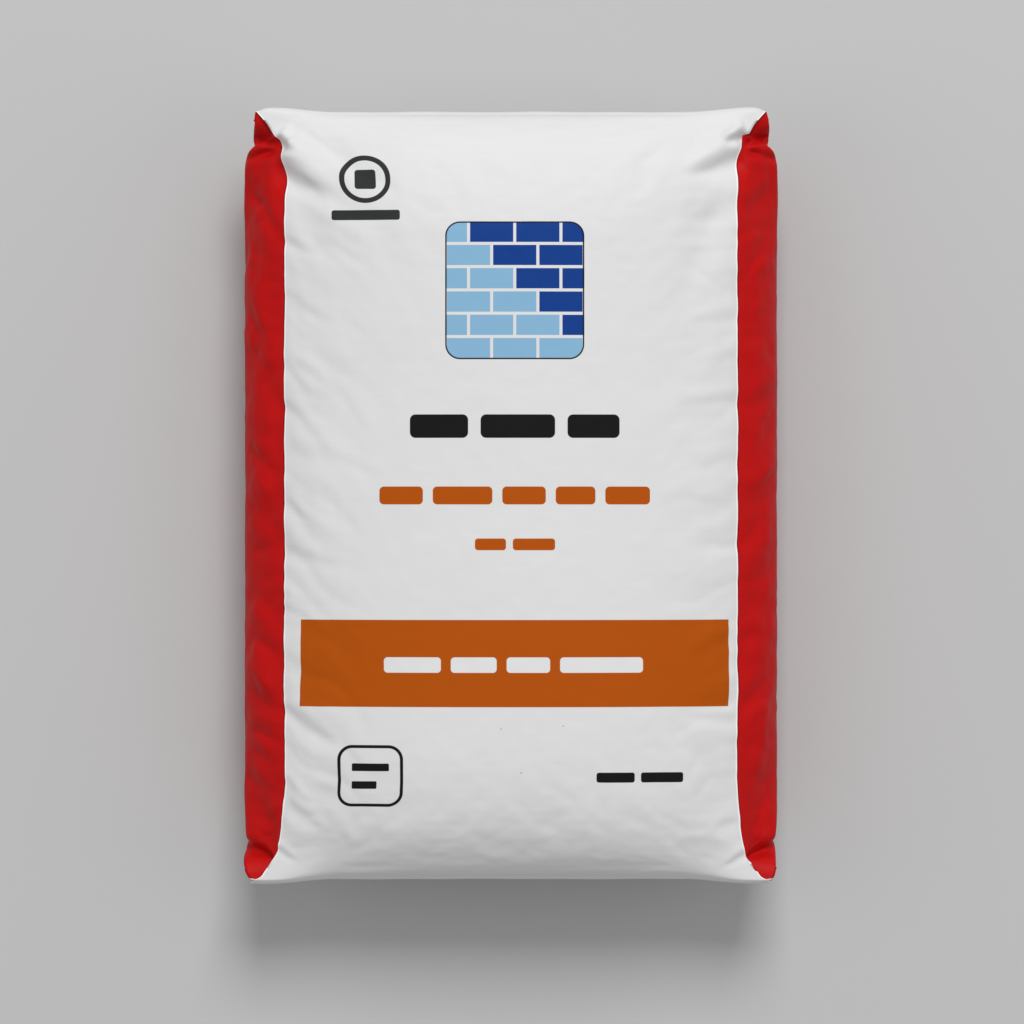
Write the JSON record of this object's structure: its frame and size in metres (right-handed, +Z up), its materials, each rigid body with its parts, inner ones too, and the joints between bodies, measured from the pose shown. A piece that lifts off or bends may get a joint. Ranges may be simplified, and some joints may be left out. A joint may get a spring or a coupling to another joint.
{
  "type": "cement bag",
  "caption": "Filled cement sack lying on its back: a printed paper tube with a gusset down each side and a glued strip across each end.",
  "frame": {"origin": "on the floor, under the middle of the sack's bounding box", "axes": "+Z up from the floor, out through the printed face; +Y along the sack, towards its head; +X across it, to the right as the face is read"},
  "size_m": [0.43, 0.627, 0.155],
  "materials": {
    "sack_paper": "satin coated white paper, printed with red gussets, an orange band and plain marks"
  },
  "bodies": {
    "root": {"sack": "sack_paper"}
  },
  "joints": []
}
